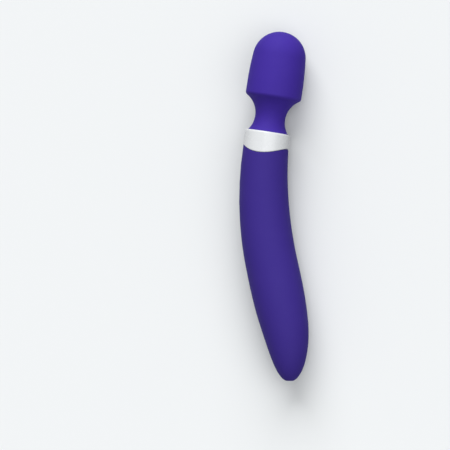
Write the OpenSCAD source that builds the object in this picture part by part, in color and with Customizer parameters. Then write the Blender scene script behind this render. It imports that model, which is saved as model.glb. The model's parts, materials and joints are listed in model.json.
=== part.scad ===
// Handheld wand massager with a flexible neck and a curved handle.
// The wand lies on its side: +Y runs up the head, +X is the hollow side of the curve, +Z is up.
// Lengths are millimetres. Heights on the head and neck count up from the collar's upper edge,
// and places on the handle count down its curved centre line from the same edge.

/* [Head] */
// Largest diameter of the head
head_d = 41.6; // [39:0.2:46]
// Height of the head's tip
head_top = 75; // [72:0.5:84]
// Height of the head's widest ring
head_wide_y = 34; // [32:0.5:36]
// Radius of the long arc up the side of the head
head_side_arc = 220; // [180:5:400]
// Radius of the rounded shoulder under the head
shoulder_r = 5; // [4.6:0.1:6]
// Height at which the two head shells meet
head_split_y = 46; // [43:0.5:49]

/* [Neck] */
// Narrowest diameter of the neck
neck_d = 22.5; // [21:0.1:25]
// Height of the narrowest place
neck_y = 10.7; // [10:0.1:12]
// Radius of the hollow of the neck
neck_arc = 17.2; // [16:0.1:20]
// Height at which the neck sleeve ends and the head cover begins
neck_seam_y = 20.5; // [19.5:0.1:21.5]
// How far the neck sleeve's lip reaches down inside the collar
lip_depth = 4; // [2:0.1:5]

/* [Collar] */
// How far the collar stands out beyond the handle's surface
collar_proud = 0; // [0:0.1:1.5]
// Collar height at the sides
collar_side_h = 10.8; // [9.5:0.1:12]
// Collar height at the front and back faces
collar_face_h = 15.8; // [14:0.1:17]
// Rounding of the collar's upper edge
collar_round = 1.2; // [0.4:0.1:1.3]

/* [Handle] */
// Diameter of the handle at the collar's upper edge
handle_top_d = 32.6; // [32:0.1:34]
// Largest diameter of the handle
handle_d = 38.7; // [37:0.1:44]
// Place of the largest diameter
widest_s = 112.7; // [108:0.1:120]
// Length of the rounded tail beyond the largest diameter
tail_len = 73.9; // [70:0.1:85]
// Diameter of the flat at the tip of the tail
tip_flat_d = 6; // [5.6:0.1:8]
// Radius of the bend of the handle
bend_r = 262; // [230:1:400]
// Angle of the bend
bend_a = 21.7; // [16:0.1:24]
// Straight length below the bend
straight_len = 42; // [36:0.5:50]
// Radius of the slight bend back at the tail
tail_bend_r = 182; // [150:1:400]

/* [Walls and clearances] */
// Thickness of the silicone skin
skin = 2; // [1.6:0.1:2.4]
// Thickness of the plastic shells
shell_wall = 1.8; // [1.5:0.1:2]
// Clearance between a skin and the shell it covers
skin_gap = 0.08; // [0.05:0.01:0.12]
// Clearance of pieces seated inside a shell
seat_gap = 0.2; // [0.1:0.05:0.3]
// Gap at the visible seams
seam_gap = 0.15; // [0.1:0.05:0.3]
// Radial clearance of the keys in their windows
key_gap = 0.2; // [0.1:0.05:0.4]
// Radial clearance of screws, pins and bushes that are fixed in a hole
pin_gap = 0.03; // [0.02:0.01:0.08]
// Radial running clearance of the motor shaft
run_gap = 0.03; // [0.01:0.01:0.1]

/* [Keys and board] */
// Place of the middle key
board_s = 38; // [36:0.5:40]
// Spacing of the keys
key_pitch = 14; // [13:0.5:15]
// Diameter of a key
key_d = 8.8; // [7:0.1:10]
// How far a key stands out of the handle
key_proud = 0.2; // [0.1:0.1:1]
// Diameter of the rim that keeps a key in
key_rim_d = 10.4; // [10.3:0.1:11.4]
// Thickness of that rim
key_rim_t = 0.8; // [0.5:0.1:1]
// Diameter of the stem under a key
key_stem_d = 3.2; // [2.6:0.1:4]
// Travel of a key
key_travel = 0.6; // [0.3:0.05:0.8]
// Depth of the sign moulded into each key
sign_depth = 0.3; // [0.1:0.1:0.5]
// Length of that sign
sign_len = 4.4; // [3:0.1:5]
// Width of the lines of that sign
sign_w = 0.9; // [0.6:0.1:1.2]
// Length of the shortest stem under a key
key_stem_len = 0.3; // [0.2:0.05:0.5]
// Thickness of the board
board_t = 1.2; // [0.8:0.1:1.6]
// Width of the board
board_w = 15; // [12:0.5:16]
// Length of the board above the middle key
board_up = 26; // [25:0.5:27]
// Length of the board below the middle key
board_down = 28; // [27.5:0.5:29]
// Side of a tact switch
switch_w = 6; // [5:0.1:6.2]
// Height of a tact switch
switch_h = 2.3; // [2:0.1:2.4]
// Diameter of a switch plunger
plunger_d = 2.4; // [1.6:0.1:3]
// How far a plunger stands out of its switch
plunger_out = 1; // [0.9:0.1:1.1]
// Side of the control chip under the board
chip_w = 6; // [4:0.5:7]
// Height of the control chip
chip_h = 1; // [0.8:0.1:1.4]
// Side of the coil under the board
coil_w = 7; // [5:0.5:8]
// Height of the coil
coil_h = 3; // [2:0.1:3.2]
// Distance of the chip and the coil from the middle of the board
chip_off = 2; // [1:0.5:3]
// Diameter of the light pipe
pipe_d = 2.2; // [1.6:0.1:3]
// Distance of the light pipe below the lowest key
pipe_pitch = 7.5; // [7:0.1:8]
// Height of the status lamp
lamp_h = 1; // [0.6:0.1:1.4]

/* [Bulkheads and screws] */
// Place of the middle bulkhead's upper face
mid_s = 64; // [63:0.5:65]
// Place of the tail bulkhead's upper face
tail_s = 142; // [141:0.5:144]
// Thickness of a bulkhead
bulk_t = 4; // [3.6:0.1:4.4]
// Diameter of the wire hole in the middle bulkhead
mid_hole_d = 9.6; // [9:0.1:11]
// Offset of that hole towards the hollow side
mid_hole_x = 1.2; // [0.8:0.1:1.6]
// Length of the neck base below the lip
base_len = 10.5; // [10:0.1:12]
// Diameter of the wire bore through the neck base and the head floor
wire_bore_d = 6; // [5:0.1:7]
// Diameter of a shell screw
screw_d = 2; // [1.6:0.1:2.4]
// Length of a shell screw under its head
screw_len = 6; // [5:0.1:7]
// Diameter of a screw head
screw_head_d = 3.8; // [3.2:0.1:4.2]
// Height of a screw head
screw_head_h = 0.9; // [0.6:0.1:1]

/* [Battery and charging] */
// Diameter of the battery cell
cell_d = 18.4; // [14:0.1:18.6]
// Length of the battery cell
cell_len = 65; // [60:0.5:66]
// Place of the middle of the cell
cell_s = 106; // [105.5:0.5:106.5]
// Width of a battery pad
pad_w = 6; // [4:0.5:8]
// Distance of each pad's middle from the middle of the cell
pad_off = 25; // [20:0.5:27]
// Diameter of the opening in the tip of the tail
port_d = 4.2; // [3.8:0.1:4.4]
// Bore of the charging jack
jack_bore_d = 2.6; // [2:0.1:3]
// Depth of that bore
jack_depth = 9.5; // [8:0.5:11]
// Diameter of the jack's barrel
jack_d = 7.2; // [7:0.1:7.4]
// Length of the jack's barrel
jack_len = 11; // [9.5:0.5:12]
// Distance of the barrel's front behind the flat tip
jack_in = 6.6; // [6.4:0.1:7]
// Size of a solder tab behind the jack
jack_tab = 1.6; // [1:0.1:2]
// Thickness of the jack's seal ring
seal_t = 1; // [0.8:0.1:1.1]
// Diameter of a wire
wire_d = 1; // [0.8:0.1:1.2]
// Distance between the two wires of a pair
wire_pitch = 1.4; // [1.3:0.1:1.6]
// Distance of the nearer wire of a pair from the middle plane of the handle
wire_clear = 1.1; // [1:0.1:1.3]
// Clearance between the cell and the wires beside it
lane_gap = 1.5; // [1.2:0.1:1.7]
// Wall between the wire hole and the rim of the tail bulkhead
hole_wall = 0.8; // [0.6:0.1:1.2]

/* [Neck spring] */
// Mean diameter of the neck spring
spring_d = 13; // [12:0.1:14]
// Wire diameter of the neck spring
spring_wire = 1.8; // [1.4:0.1:2]
// Turns of the neck spring
spring_turns = 7; // [5:1:8]
// Height of the spring's centring bosses
boss_h = 3.5; // [2:0.1:4]

/* [Motor] */
// Diameter of the motor
motor_d = 24; // [20:0.1:24.4]
// Length of the motor can
can_len = 27.5; // [25:0.5:28]
// Wall of the motor can
can_wall = 0.8; // [0.6:0.1:1]
// Height of the motor's end cap
cap_h = 2.5; // [2:0.1:3]
// Room under the motor for its terminals
terminal_room = 2.3; // [2:0.1:3]
// Thickness of the floor of the head shell
head_floor = 2.4; // [2:0.1:3]
// Diameter of the motor shaft
shaft_d = 2; // [1.5:0.1:3]
// Diameter of the bushes
bush_d = 6; // [5:0.1:7]
// Height of a bush
bush_h = 2.5; // [2:0.1:3]
// Diameter of the armature
armature_d = 17.2; // [14:0.1:17.6]
// Length of the armature
armature_len = 20; // [16:0.5:21]
// Thickness of a magnet
magnet_t = 2; // [1.5:0.1:2.1]
// Angle covered by a magnet
magnet_a = 140; // [100:5:160]
// Radius of the eccentric weight
weight_r = 9; // [7:0.1:9.5]
// Height of the eccentric weight
weight_h = 8; // [6:0.1:8.5]
// Diameter of the weight's hub
weight_hub_d = 6; // [5:0.1:8]
// Gap between the upper bush and the weight
weight_gap = 1; // [0.6:0.1:1.5]
// Height of a rubber motor ring
ring_h = 4; // [3:0.1:5]
// Distance of each rubber ring from the end of the can
ring_in = 2.5; // [2:0.1:4]

/* [Hidden] */
$fn = 72;
sides = 32;
rad = 180 / PI;
eps = 0.01;

head_r = head_d / 2;
neck_r = neck_d / 2;
handle_r = handle_d / 2;
handle_top_r = handle_top_d / 2;
tip_r = tip_flat_d / 2;
key_r = key_d / 2;
cell_r = cell_d / 2;
motor_r = motor_d / 2;
shaft_r = shaft_d / 2;
bush_r = bush_d / 2;
shell_out = skin + skin_gap;
shell_in = shell_out + shell_wall;

// Head outline: hollow neck arc, shoulder arc, long side arc, domed tip, each tangent to the next
dome_run = head_top - head_wide_y;
dome_r = (pow(head_side_arc, 2) - pow(head_side_arc - head_r, 2) - pow(dome_run, 2))
    / (2 * (head_side_arc - dome_run));
dome_y = head_top - dome_r;
dome_a = atan2(dome_y - head_wide_y, head_side_arc - head_r);
neck_cx = neck_r + neck_arc;
shoulder_cx = head_r - shoulder_r;
shoulder_dx = neck_cx - shoulder_cx;
shoulder_dy = sqrt(pow(neck_arc + shoulder_r, 2) - pow(shoulder_dx, 2));
shoulder_y = neck_y + shoulder_dy;
shoulder_a = atan2(shoulder_dy, -shoulder_dx);

// Handle centre line
bend_len = bend_r * bend_a / rad;
tail_start = bend_len + straight_len;
upper_rings = 10;
tail_rings = 12;
tip_s = widest_s + tail_len * sqrt(1 - pow(tip_r / handle_r, 2));
shell_top_s = lip_depth + seam_gap + handle_top_r * lip_depth / bend_r;
sleeve_top_s = collar_side_h - skin;

// Collar, flush with the handle and bored to clear the shells inside it
collar_r = skin_r(collar_side_h, 0) + collar_proud;
collar_d = 2 * collar_r;
collar_bore_r = skin_r(collar_face_h, shell_out) + cx(collar_side_h) + seat_gap;
scallop_drop = collar_face_h - collar_side_h;
scallop_r = (pow(collar_r, 2) + pow(scallop_drop, 2)) / (2 * scallop_drop);
scallop_y = scallop_r - collar_face_h;
lip_r = collar_bore_r - seam_gap;
lip_in_r = neck_outline(skin, 0, neck_seam_y)[0].x;

// Head parts
head_floor_y = neck_seam_y + seam_gap;
motor_y = head_floor_y + head_floor + terminal_room;
can_y = motor_y + cap_h;
can_top = can_y + can_len;
bush_top = can_top + bush_h - can_wall;
weight_y = bush_top + weight_gap;
shaft_end_y = motor_y + bush_h / 4;
shaft_top = weight_y + weight_h + shaft_d / 2;
armature_y = can_y + (can_len - armature_len) / 2;
lap_h = shell_wall * 1.5;
base_r = skin_r(lip_depth, shell_in) - 2 * seat_gap;
base_low = lip_depth + base_len;
spring_low = spring_wire / 2 + seam_gap;
spring_high = head_floor_y - seam_gap - spring_wire / 2;
boss_r = (spring_d - spring_wire) / 2 - seat_gap;

// Board heights above the handle's centre line, outwards through the key side
board_off = min([for (u = [-key_pitch, 0, key_pitch]) rim_top(u)])
    - key_rim_t - key_stem_len - plunger_out - switch_h;
switch_top = board_off + switch_h;
plunger_top = switch_top + plunger_out;
plunger_deep = switch_top - key_travel - plunger_d / 4;

// Wires beside the cell and through the tail bulkhead
wire_side = cell_r + lane_gap + wire_d / 2;
wire_mid_z = wire_clear + wire_pitch / 2;
tail_hole_r = wire_pitch / 2 + wire_d;
tail_hole_x = sqrt(pow(skin_r(tail_s + bulk_t, shell_in + seat_gap) - hole_wall - tail_hole_r, 2)
    - pow(wire_mid_z, 2));

// Tip of the tail and the jack in it
jack_front = tip_s - jack_in;
jack_nose_d = tip_flat_d - 2 * seat_gap;
nose_s = widest_s + (tail_len - shell_out) * sqrt(1 - pow(tip_r / (handle_r - shell_out), 2)) - seat_gap;

// Box of the whole wand, for the origin under its middle
outer_rings = handle_rings(0, sleeve_top_s);
x_max = max([for (q = outer_rings) cx(q[0]) + q[1] * cos(heading(q[0]))]);
y_min = min([for (q = outer_rings) cy(q[0]) - q[1] * sin(heading(q[0]))]);
mid_x = (x_max - head_r) / 2;
mid_y = (head_top + y_min) / 2;

// Heading of the handle's centre line, in degrees from straight down
function heading(s) =
    s < bend_len ? s / bend_r * rad
    : s < tail_start ? bend_a
    : bend_a - (s - tail_start) / tail_bend_r * rad;

function cx(s) =
    s < bend_len ? bend_r * (1 - cos(heading(s)))
    : s < tail_start ? bend_r * (1 - cos(bend_a)) + (s - bend_len) * sin(bend_a)
    : cx(tail_start - eps) + tail_bend_r * (cos(heading(s)) - cos(bend_a));

function cy(s) =
    s < bend_len ? -bend_r * sin(heading(s))
    : s < tail_start ? -bend_r * sin(bend_a) - (s - bend_len) * cos(bend_a)
    : cy(tail_start - eps) - tail_bend_r * (sin(bend_a) - sin(heading(s)));

// Radius of the handle's surface, taken in by depth t
function skin_r(s, t) =
    s < widest_s ? handle_top_r + (handle_r - handle_top_r) * sin(90 * s / widest_s) - t
    : (handle_r - t) * sqrt(1 - pow((s - widest_s) / (tail_len - t), 2));

// Places and radii of the rings down the handle, at depth t from place s0 to the tip
function handle_rings(t, s0) = concat(
    [for (i = [0 : upper_rings - 1]) let (s = s0 + (widest_s - s0) * i / upper_rings) [s, skin_r(s, t)]],
    [for (i = [0 : tail_rings]) let (a = acos(tip_r / (handle_r - t)) * i / tail_rings)
        [widest_s + (tail_len - t) * sin(a), (handle_r - t) * cos(a)]]
);

// Point on the handle at place s, angle a round the centre line and distance r from it
function on_handle(s, a, r) = [
    cx(s) + r * cos(a) * cos(heading(s)),
    cy(s) + r * cos(a) * sin(heading(s)),
    r * sin(a)
];

function reversed(list) = [for (i = [len(list) - 1 : -1 : 0]) list[i]];

function ease(x) = let (u = min(1, max(0, x))) u * u * (3 - 2 * u);

// Points of an arc round c, leaving out the first when it follows another arc
function arc(c, r, a0, a1, n, first = 0) =
    [for (i = [first : n]) c + r * [cos(a0 + (a1 - a0) * i / n), sin(a0 + (a1 - a0) * i / n)]];

// Side and dome of the head from height y0 up, taken in by depth t
function dome_outline(t, y0) = concat(
    arc([head_r - head_side_arc, head_wide_y], head_side_arc - t,
        asin((y0 - head_wide_y) / (head_side_arc - t)), dome_a, 8),
    arc([0, dome_y], dome_r - t, dome_a, 90, 18, 1)
);

// Hollow of the neck from height y0 up to y1, taken in by depth t
function neck_outline(t, y0, y1) = arc([neck_cx, neck_y], neck_arc + t,
    180 - asin((y0 - neck_y) / (neck_arc + t)), 180 - asin((y1 - neck_y) / (neck_arc + t)), 16);

// Underside and shoulder of the head from height y0 up to the widest ring
function shoulder_outline(t, y0) = concat(
    arc([neck_cx, neck_y], neck_arc + t, 180 - asin((y0 - neck_y) / (neck_arc + t)), shoulder_a, 8),
    arc([shoulder_cx, shoulder_y], shoulder_r - t, shoulder_a - 180, 0, 8, 1)
);

function head_outline(t, y0) = concat(shoulder_outline(t, y0), dome_outline(t, head_wide_y));

function side_r(t, y) = head_r - head_side_arc + sqrt(pow(head_side_arc - t, 2) - pow(y - head_wide_y, 2));

silicone = [0.29, 0.21, 0.65];
white_gloss = [0.92, 0.92, 0.93];
black_plastic = [0.16, 0.16, 0.18];
grey_plastic = [0.55, 0.55, 0.58];
steel = [0.72, 0.73, 0.75];
brass = [0.78, 0.62, 0.3];
board_green = [0.1, 0.4, 0.22];
dark_rubber = [0.12, 0.12, 0.12];
red_wire = [0.75, 0.12, 0.1];
cell_blue = [0.2, 0.45, 0.75];

// Puts the wand's own frame on the floor, with the origin under the middle of its box
module placed() {
    translate([-mid_x, -mid_y, head_r]) children();
}

// Turns a piece made along Z so that it runs up the head's axis
module upright() {
    rotate([-90, 0, 0]) children();
}

// Frame at place s of the handle: Y up the handle, X towards the hollow side
module at(s) {
    translate([cx(s), cy(s), 0]) rotate([0, 0, heading(s)]) children();
}

// Frame for a key at distance u below the middle key, with Z outwards through the key side
module at_key(u) {
    at(board_s) translate([0, -u, 0]) rotate([0, -90, 0]) children();
}

// Frame at the tip of the tail, with Z outwards along the tail
module at_tip() {
    at(tip_s) rotate([90, 0, 0]) children();
}

module disc(y, h, r) {
    upright() translate([0, 0, y]) cylinder(h = h, r = r);
}

module turned(outline) {
    upright() rotate_extrude() polygon(outline);
}

// Skin through rows of points, each row a closed loop. A row list that wraps has no ends;
// otherwise the ends are closed, as plain faces or as strips across a two-sided loop.
module loft(rows, wrap = false, strip = false) {
    m = len(rows[0]);
    n = len(rows);
    last = (n - 1) * m;
    walls = [for (i = [0 : wrap ? n - 1 : n - 2], k = [0 : m - 1], half = [0, 1])
        let (a = i * m + k, b = i * m + (k + 1) % m)
        let (c = ((i + 1) % n) * m + (k + 1) % m, d = ((i + 1) % n) * m + k)
        half == 0 ? [a, d, c] : [a, c, b]];
    strips = [for (k = [0 : m / 2 - 2], half = [0, 1])
        half == 0 ? [k, k + 1, m - 2 - k] : [k, m - 2 - k, m - 1 - k]];
    ends = wrap ? []
        : strip ? concat(strips, [for (f = strips) reversed([for (v = f) v + last])])
        : [[for (k = [0 : m - 1]) k], [for (k = [m - 1 : -1 : 0]) last + k]];
    polyhedron(points = [for (row = rows, p = row) p], faces = concat(walls, ends));
}

// Round loop of points at place s of the handle
function handle_loop(s, r) = [for (k = [0 : sides - 1]) on_handle(s, 360 * k / sides, r)];

// Solid slice of the handle between two places, at depth t
module handle_slice(s0, s1, t) {
    loft([for (s = [s0, (s0 + s1) / 2, s1]) handle_loop(s, skin_r(s, t))]);
}

// Wire through points that run mainly along Y
module wire(points) {
    wire_sides = 8;
    loft([for (p = points) [for (k = [0 : wire_sides - 1]) p
        + wire_d / 2 * [cos(-360 * k / wire_sides), 0, sin(-360 * k / wire_sides)]]]);
}

// Half of the handle shell: turn 0 is the front half and turn 180 the back half
module shell_half(turn) {
    out = handle_rings(shell_out, shell_top_s);
    inn = handle_rings(shell_in, shell_top_s);
    half = sides / 2;
    part_gap = seam_gap / 2;
    side = turn == 0 ? 1 : -1;
    rows = [for (i = [0 : len(out) - 1]) concat(
        [for (k = [0 : half]) let (p = on_handle(out[i][0], turn + 180 * k / half, out[i][1]))
            [p.x, p.y, side * max(part_gap, side * p.z)]],
        [for (k = [half : -1 : 0]) let (p = on_handle(inn[i][0], turn + 180 * k / half, inn[i][1]))
            [p.x, p.y, side * max(part_gap, side * p.z)]]
    )];
    difference() {
        loft(rows, strip = true);
        key_windows();
        screw_places(turn == 0 ? 1 : -1) {
            translate([0, 0, -2 * shell_in]) cylinder(h = 2 * shell_in, r = screw_d / 2 + pin_gap);
            translate([0, 0, -screw_sink()]) cylinder(h = shell_in, r = screw_head_d / 2 + seat_gap);
        }
    }
}

// Depth of the seat of a screw head below the skin's surface
function screw_sink() = shell_out + seat_gap + screw_head_h;

// Frames at the shell screws on one face, with Z outwards from the skin's surface
module screw_places(side) {
    for (s = [lip_depth + base_len * 0.6, mid_s + bulk_t / 2, tail_s + bulk_t / 2])
        at(s) rotate([side > 0 ? 0 : 180, 0, 0]) translate([0, 0, skin_r(s, 0)]) children();
}

// Windows for the keys and the light pipe through the key side
module key_windows() {
    for (u = [-key_pitch, 0, key_pitch])
        at_key(u) translate([0, 0, board_off + switch_h]) cylinder(h = handle_r, r = key_r + key_gap);
    at_key(key_pitch + pipe_pitch) translate([0, 0, board_off + switch_h])
        cylinder(h = handle_r, r = pipe_d / 2 + seam_gap);
}

// Height of the skin's surface over the board's centre line, at distance u below the middle key
function key_face(u) = skin_r(board_s + u, 0) - u * u / (2 * bend_r);

// Height of the inside of the shell over the rim of a key
function rim_top(u) = sqrt(pow(skin_r(board_s + u, shell_in), 2) - pow(key_rim_d / 2, 2))
    - u * u / (2 * bend_r) - key_rim_d / 2 * sin(heading(board_s + abs(u)) - heading(board_s)) - seat_gap;

module key(u) {
    top = key_face(u) + key_proud;
    rim = rim_top(u);
    at_key(u) difference() {
        union() {
            translate([0, 0, rim - key_rim_t]) cylinder(h = top - rim + key_rim_t, r = key_r);
            translate([0, 0, rim - key_rim_t]) cylinder(h = key_rim_t, r = key_rim_d / 2);
            translate([0, 0, plunger_top]) cylinder(h = rim - plunger_top, r = key_stem_d / 2);
        }
        translate([0, 0, top - sign_depth]) linear_extrude(height = 2 * sign_depth) children();
    }
}

module plunger(u) {
    color(black_plastic) placed() at_key(u)
        translate([0, 0, plunger_deep]) cylinder(h = plunger_top - plunger_deep, r = plunger_d / 2);
}

module bar() {
    square([sign_w, sign_len], center = true);
}

module head_cover() {
    color(silicone) placed()
        turned(concat(head_outline(0, neck_seam_y + seam_gap / 2),
            reversed(head_outline(skin, neck_seam_y + seam_gap / 2))));
}

module neck_sleeve() {
    top = neck_seam_y - seam_gap / 2;
    outer = [for (p = neck_outline(0, 0, top)) [min(p.x, lip_r), p.y]];
    color(silicone) placed()
        turned(concat([[lip_in_r, -lip_depth], [outer[0].x, -lip_depth]], outer,
            reversed(neck_outline(skin, 0, top))));
}

module collar_ring() {
    color(white_gloss) placed() intersection() {
        turned(concat(
            [[collar_bore_r, -collar_face_h - 1], [collar_r, -collar_face_h - 1]],
            arc([collar_r - collar_round, -collar_round], collar_round, 0, 90, 6),
            [[collar_bore_r, 0]]
        ));
        translate([0, scallop_y, 0]) cylinder(h = 2 * collar_d, r = scallop_r, center = true, $fn = 144);
    }
}

module handle_sleeve() {
    out = handle_rings(0, sleeve_top_s);
    inn = handle_rings(skin, sleeve_top_s);
    last = len(out) - 1;
    rows = concat(
        [for (q = out) handle_loop(q[0], q[1])],
        [handle_loop(out[last][0], port_d / 2), handle_loop(inn[last][0], port_d / 2)],
        [for (q = reversed(inn)) handle_loop(q[0], q[1])]
    );
    color(silicone) placed() difference() {
        loft(rows, wrap = true);
        translate([0, scallop_y, 0])
            cylinder(h = 2 * collar_d, r = scallop_r + seam_gap, center = true, $fn = 144);
        key_windows();
    }
}

module power_key() {
    color(silicone) placed() key(-key_pitch) difference() {
        circle(d = sign_len);
        circle(d = sign_len - 2 * sign_w);
    }
}

module plus_key() {
    color(silicone) placed() key(0) {
        bar();
        rotate(90) bar();
    }
}

module minus_key() {
    color(silicone) placed() key(key_pitch) rotate(90) bar();
}

module power_plunger() {
    plunger(-key_pitch);
}

module plus_plunger() {
    plunger(0);
}

module minus_plunger() {
    plunger(key_pitch);
}

module light_pipe() {
    u = key_pitch + pipe_pitch;
    low = board_off + lamp_h + seam_gap;
    color([0.9, 0.9, 0.95]) placed() at_key(u)
        translate([0, 0, low]) cylinder(h = key_face(u) - low, r = pipe_d / 2);
}

module status_lamp() {
    color([0.95, 0.9, 0.7]) placed() at_key(key_pitch + pipe_pitch)
        translate([-pipe_d / 2, -pipe_d / 4, board_off]) cube([pipe_d, pipe_d / 2, lamp_h]);
}

// Outline of the board grown by a clearance, in the frame of the middle key
module board_block(gap) {
    translate([-board_w / 2 - gap, -board_down - gap, board_off - board_t - gap])
        cube([board_w + 2 * gap, board_up + board_down + 2 * gap, board_t + 2 * gap]);
}

module circuit_board() {
    color(board_green) placed() at_key(0) board_block(0);
}

module tact_switches() {
    color(grey_plastic) placed() for (u = [-key_pitch, 0, key_pitch])
        at_key(u) difference() {
            translate([-switch_w / 2, -switch_w / 2, board_off]) cube([switch_w, switch_w, switch_h]);
            translate([0, 0, plunger_deep - key_travel - seat_gap])
                cylinder(h = switch_h, r = plunger_d / 2 + key_gap);
        }
}

module board_chips() {
    under = board_off - board_t;
    color(black_plastic) placed() at_key(0) {
        translate([-chip_w / 2, chip_off, under - chip_h]) cube([chip_w, chip_w, chip_h]);
        translate([-coil_w / 2, -chip_off - coil_w, under - coil_h]) cube([coil_w, coil_w, coil_h]);
    }
}

module shell_front() {
    color(black_plastic) placed() shell_half(0);
}

module shell_back() {
    color(grey_plastic) placed() shell_half(180);
}

module shell_screws() {
    color(steel) placed() for (side = [1, -1]) screw_places(side) {
        translate([0, 0, -screw_sink()]) cylinder(h = screw_head_h, r = screw_head_d / 2);
        translate([0, 0, -screw_sink() - screw_len]) cylinder(h = screw_len, r = screw_d / 2);
    }
}

// Holes for the shell screws in a piece inside the shells
module screw_holes() {
    for (side = [1, -1])
        screw_places(side) translate([0, 0, -screw_sink() - screw_len - seat_gap])
            cylinder(h = screw_len + seat_gap + screw_sink(), r = screw_d / 2 + pin_gap);
}

module neck_base() {
    color(grey_plastic) placed() difference() {
        union() {
            disc(-base_low, base_len, base_r);
            disc(-lip_depth - eps, lip_depth + eps, min(base_r, lip_in_r - seat_gap));
            disc(-eps, boss_h + eps, boss_r);
        }
        disc(-base_low - 1, base_low + boss_h + 2, wire_bore_d / 2);
        screw_holes();
        at_key(0) board_block(seat_gap);
    }
}

module mid_bulkhead() {
    color(grey_plastic) placed() difference() {
        handle_slice(mid_s, mid_s + bulk_t, shell_in + seat_gap);
        at(mid_s) translate([mid_hole_x, 0, 0]) rotate([90, 0, 0])
            cylinder(h = 4 * bulk_t, d = mid_hole_d, center = true);
        screw_holes();
        at_key(0) board_block(seat_gap);
    }
}

module tail_bulkhead() {
    color(grey_plastic) placed() difference() {
        handle_slice(tail_s, tail_s + bulk_t, shell_in + seat_gap);
        at(tail_s) translate([tail_hole_x, 0, -wire_mid_z]) rotate([90, 0, 0])
            cylinder(h = 4 * bulk_t, r = tail_hole_r, center = true);
        screw_holes();
    }
}

module battery_cell() {
    nub_d = cell_d / 3;
    color(cell_blue) placed() at(cell_s) rotate([90, 0, 0]) {
        translate([0, 0, -cell_len / 2]) cylinder(h = cell_len - wire_d, d = cell_d);
        translate([0, 0, cell_len / 2 - wire_d - eps]) cylinder(h = wire_d + eps, d = nub_d);
    }
}

module battery_pads() {
    notch_w = 2 * (wire_clear + wire_pitch + wire_d);
    color(dark_rubber) placed() for (off = [-pad_off, pad_off]) difference() {
        handle_slice(cell_s + off - pad_w / 2, cell_s + off + pad_w / 2, shell_in + seat_gap);
        at(cell_s) rotate([90, 0, 0]) cylinder(h = 2 * cell_len, r = cell_r + pin_gap, center = true);
        at(cell_s + off) translate([wire_side - wire_d, -pad_w, -notch_w / 2])
            cube([handle_d, 2 * pad_w, notch_w]);
    }
}

module battery_leads() {
    low_s = cell_s - cell_len / 2 - wire_d / 2;
    high_s = board_s + board_down - bulk_t * 2;
    steps = 8;
    board_x = board_t - board_off + wire_d / 2 + seat_gap;
    color(red_wire) placed() for (side = [0, 1]) wire([for (i = [0 : steps])
        let (s = low_s + (high_s - low_s) * i / steps)
        let (x = mid_hole_x + (board_x - mid_hole_x) * ease((mid_s - s) / (mid_s - high_s)))
        on_handle(s, 0, x) + [0, 0, wire_clear + side * wire_pitch]]);
}

module charge_leads() {
    low_s = jack_front - jack_len - jack_tab - seat_gap;
    high_s = board_s + board_down - bulk_t * 2;
    hole_low = tail_s + bulk_t + wire_d;
    side_low = cell_s + cell_len / 2;
    side_high = cell_s - cell_len / 2 + 3 * wire_d;
    steps = 36;
    board_x = board_t - board_off + wire_d / 2 + seat_gap;
    color(red_wire) placed() for (row = [0, 1]) wire([for (i = [0 : steps])
        let (s = low_s + (high_s - low_s) * i / steps)
        let (hole = tail_hole_x * ease((low_s - s) / (low_s - hole_low)))
        let (side = (wire_side - tail_hole_x) * ease((tail_s - s) / (tail_s - side_low)))
        let (board = (board_x - wire_side) * ease((side_high - s) / (side_high - high_s)))
        on_handle(s, 0, hole + side + board) - [0, 0, wire_clear + row * wire_pitch]]);
}

module charge_jack() {
    nose = tip_s - nose_s;
    color(black_plastic) placed() at_tip() difference() {
        union() {
            translate([0, 0, -jack_in - jack_len]) cylinder(h = jack_len, d = jack_d);
            translate([0, 0, -jack_in - eps]) cylinder(h = jack_in - nose + eps, d = jack_nose_d);
        }
        translate([0, 0, -nose - jack_depth]) cylinder(h = jack_depth + 1, d = jack_bore_d);
    }
}

module jack_tabs() {
    color(brass) placed() at_tip() for (side = [-1, 1])
        translate([-jack_tab / 2, side * jack_tab - jack_tab / 4, -jack_in - jack_len - jack_tab])
            cube([jack_tab, jack_tab / 2, jack_tab]);
}

module jack_seal() {
    color(dark_rubber) placed() at_tip() translate([0, 0, -jack_in + seal_t / 2 + pin_gap])
        rotate_extrude() translate([jack_nose_d / 2 + seal_t / 2 + pin_gap, 0]) circle(d = seal_t, $fn = 24);
}

module neck_spring() {
    per_turn = 18;
    wire_sides = 8;
    count = per_turn * spring_turns;
    rise = spring_high - spring_low;
    color(steel) placed() loft([for (i = [0 : count]) let (a = 360 * i / per_turn)
        [for (k = [0 : wire_sides - 1]) let (b = 360 * k / wire_sides)
            let (r = spring_d / 2 + spring_wire / 2 * cos(b))
            [r * cos(a), spring_low + rise * i / count + spring_wire / 2 * sin(b), r * sin(a)]]]);
}

module motor_leads() {
    low_y = -base_low - 6 * wire_d;
    high_y = motor_y - wire_d / 2;
    spread_y = head_floor_y + head_floor;
    board_x = board_t - board_off + 2 * wire_d;
    steps = 24;
    color(red_wire) placed() for (side = [-1, 1]) wire([for (i = [0 : steps])
        let (y = low_y + (high_y - low_y) * i / steps)
        let (spread = ease((y - spread_y) / (high_y - spread_y)))
        [board_x * (1 - ease((y - low_y) / (7 * wire_d))), y,
            side * (wire_pitch + (motor_r / 2 - wire_pitch) * spread)]]);
}

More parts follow.
